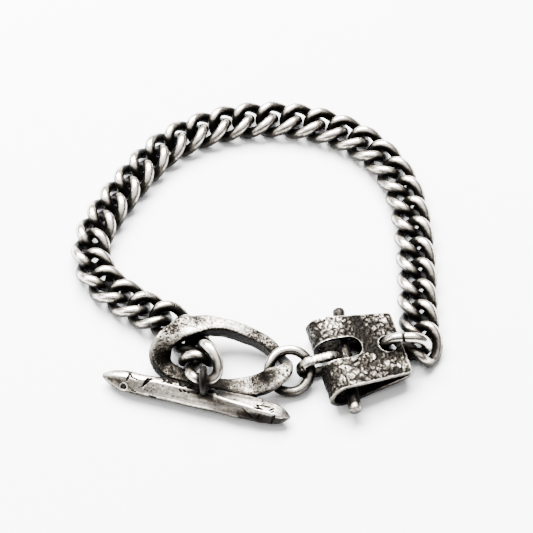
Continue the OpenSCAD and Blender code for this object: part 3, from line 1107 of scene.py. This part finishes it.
def upright_oval(reach, radius, wide, thick, squareness):
    """An oval eye in an upright plane, its middle at the origin."""
    count = UPRIGHT_STEPS
    points = []
    for k in range(4 * count):
        t = TAU * k / (4 * count)
        x = radius * math.cos(t) + math.copysign(reach / 2, math.cos(t))
        points.append((x, 0, radius * math.sin(t)))
    line = resampled(points, count)
    sections = []
    for i, place in enumerate(line):
        way = (line[(i + 1) % count] - line[i - 1]).normalized()
        out = way.cross(Vector((0, 1, 0)))
        sections.append([place + Vector((0, 1, 0)) * p[0] + out * p[1]
                         for p in oval(wide, thick, UPRIGHT_SIDES, squareness)])
    return skin(sections, True)


# Cross pin from its far end to its near end: (place along, radius), as shares of its length and diameter
PIN_ROWS = ((0.0, 0.05), (0.004, 0.3), (0.015, 0.43), (0.04, 0.49), (0.3, 0.5), (0.7, 0.5), (0.9, 0.49),
            (0.93, 0.52), (0.975, 0.53), (0.992, 0.44), (1.0, 0.06))


def pin_dirt_and_shade(place):
    """Painted shade on the pin's shaft where it leaves the tab, and a darker far end; its near cap stays
    bright.
    """
    near = 0.5 * smoothstep(-10.5, -9.8, place.y) * smoothstep(-7.0, -8.0, place.y)
    far = 0.35 * smoothstep(7.0, 8.0, place.y)
    return 0.0, near + far


def build_cross_pin():
    sections = []
    for k in range(PIN_STEPS + 1):
        t = k / PIN_STEPS
        i = max(j for j in range(len(PIN_ROWS) - 1) if PIN_ROWS[j][0] <= t)
        (a, ra), (b, rb) = PIN_ROWS[i], PIN_ROWS[i + 1]
        radius = PIN_D * (ra + (rb - ra) * (t - a) / (b - a))
        sections.append([Vector((radius * math.cos(TAU * j / PIN_SIDES), PIN_L * (0.5 - t),
                                 radius * math.sin(TAU * j / PIN_SIDES))) for j in range(PIN_SIDES)])
    bm = skin(sections, False)
    bmesh.ops.rotate(bm, verts=bm.verts, cent=(0, 0, 0), matrix=Matrix.Rotation(PIN_SKEW, 3, "Z"))
    bmesh.ops.translate(bm, verts=bm.verts, vec=(0, PIN_SIDE, 0))
    eye = upright_oval(EYE_REACH, EYE_R, EYE_W, EYE_H, 2.6)
    bmesh.ops.translate(eye, verts=eye.verts, vec=(-EYE_SET - EYE_R - EYE_REACH / 2, 0, 0))
    join(bm, eye)
    bmesh.ops.translate(bm, verts=bm.verts, vec=(PIN_FROM_FOLD, 0, PIN_Z))
    press(bm, ripple(1.1, 0.07, 7.7))
    press(bm, pits(0.3, 0.05, 3.9, 0.25, 2.0))
    press(bm, pits(1.0, 0.1, 6.2, 0.3, 5.0))
    press(bm, pin_dirt_and_shade)
    in_tab(bm)
    return make_piece("cross_pin_with_eye", bm, pin_silver, ("cross_pin",))


def build_connector_ring():
    bm = upright_oval(CONN_L - CONN_H, (CONN_H - CONN_WIRE) / 2, CONN_WIRE, CONN_WIRE, 2.0)
    press(bm, ripple(2.0, 0.05, 3.3))
    dent_and_shade = add_layer(bm, "dent_and_shade")
    bm.normal_update()
    for vert in bm.verts:
        seam = smoothstep(0.22, 0.08, abs(vert.co.x - SEAM_X)) if vert.co.z > 0 else 0.0
        vert.co -= vert.normal * SEAM_DEPTH * seam
        vert[dent_and_shade] = min(1.0, vert[dent_and_shade] + seam)
    bmesh.ops.rotate(bm, verts=bm.verts, cent=(0, 0, 0), matrix=Matrix.Rotation(CONN_LEAN, 3, "X"))
    bmesh.ops.translate(bm, verts=bm.verts, vec=CONN_AT)
    return make_piece("split_connector_ring", bm, ring_silver, ("connector_ring",))


# Openness: the share of short rays that leave a point without meeting metal, which sets the black patina in
# its recesses;
# rays into the surface it lies on count a little against it, so that undersides stay dark, a painted shade
# under the metal by the table
def openness_and_floor_shade(objects, rays=28, reach=7.0 * MM, painted_floor_shade=-0.3):
    everything = bmesh.new()
    for obj in objects:
        everything.from_mesh(obj.data)
    tree = BVHTree.FromBMesh(everything)
    everything.free()
    golden = math.pi * (3 - math.sqrt(5))
    fan = []
    for k in range(rays):
        up = 1 - (k + 0.5) / rays * 0.92
        flat = math.sqrt(1 - up * up)
        fan.append(Vector((flat * math.cos(golden * k), flat * math.sin(golden * k), up)))
    weights = [ray.z for ray in fan]
    whole = sum(weights)
    for obj in objects:
        mesh = obj.data
        values = np.empty(len(mesh.vertices), np.float32)
        for vert in mesh.vertices:
            turn = Vector((0, 0, 1)).rotation_difference(vert.normal).to_matrix()
            start = vert.co + vert.normal * 0.03 * MM
            free = 0.0
            for ray, weight in zip(fan, weights):
                way = turn @ ray
                distance = tree.ray_cast(start, way, reach)[3]
                if distance is not None:
                    free += weight * (distance / reach) ** 2 * 0.5
                # a ray into the table darkens the point: painted shade under the metal
                elif start.z + way.z * reach < 0:
                    free += weight * painted_floor_shade
                else:
                    free += weight
            values[vert.index] = max(0.0, free / whole)
        # the open layer holds the patina's openness and the painted shade from the table
        layer = mesh.attributes.new("open", "FLOAT", "POINT")
        layer.data.foreach_set("value", values)


chain = build_links()
clasp = [build_toggle_ring(), build_toggle_bar(), build_jump_ring(), build_folded_tab(), build_cross_pin(),
         build_connector_ring()]
openness_and_floor_shade(chain + clasp)


# Floor, light and camera
def build_floor():
    bm = bmesh.new()
    bmesh.ops.create_grid(bm, x_segments=1, y_segments=1, size=1.5)
    mesh = bpy.data.meshes.new("table_top")
    bm.to_mesh(mesh)
    bm.free()
    floor = bpy.data.objects.new("table_top", mesh)
    bpy.context.scene.collection.objects.link(floor)
    material = bpy.data.materials.new("white_paper")
    material.use_nodes = True
    shader = material.node_tree.nodes["Principled BSDF"]
    shader.inputs["Base Color"].default_value = (0.93, 0.93, 0.93, 1)
    shader.inputs["Roughness"].default_value = 0.9
    mesh.materials.append(material)


def area_light(name, place, target, size, power):
    light = bpy.data.lights.new(name, "AREA")
    light.shape = "RECTANGLE"
    light.size, light.size_y = size
    light.energy = power
    obj = bpy.data.objects.new(name, light)
    obj.location = place
    obj.rotation_euler = (Vector(target) - Vector(place)).to_track_quat("-Z", "Y").to_euler()
    bpy.context.scene.collection.objects.link(obj)


build_floor()
world = bpy.data.worlds.new("studio")
world.use_nodes = True
background = world.node_tree.nodes["Background"]
background.inputs["Color"].default_value = (1.0, 0.94, 0.88, 1)
background.inputs["Strength"].default_value = 0.08
bpy.context.scene.world = world
area_light("back_softbox", (-0.12, 0.34, 0.58), (0, 0, 0), (0.7, 0.45), 64.0)
area_light("overhead_softbox", (0, -0.05, 0.8), (0, 0, 0), (1.3, 1.0), 9.0)
area_light("left_softbox", (-0.7, -0.05, 0.35), (0, 0, 0), (0.3, 0.4), 5.0)

camera_data = bpy.data.cameras.new("photo_camera")
camera_data.sensor_width = SENSOR_MM
camera_data.lens = SENSOR_MM * FOCAL_PX / FRAME_PX
camera = bpy.data.objects.new("photo_camera", camera_data)
camera.location = to_part((0, 0, 0)) + Vector((0, -VIEW_DISTANCE * math.cos(VIEW_ELEVATION),
                                               VIEW_DISTANCE * math.sin(VIEW_ELEVATION)))
camera.rotation_euler = (math.pi / 2 - VIEW_ELEVATION, 0, 0)
bpy.context.scene.collection.objects.link(camera)
bpy.context.scene.camera = camera
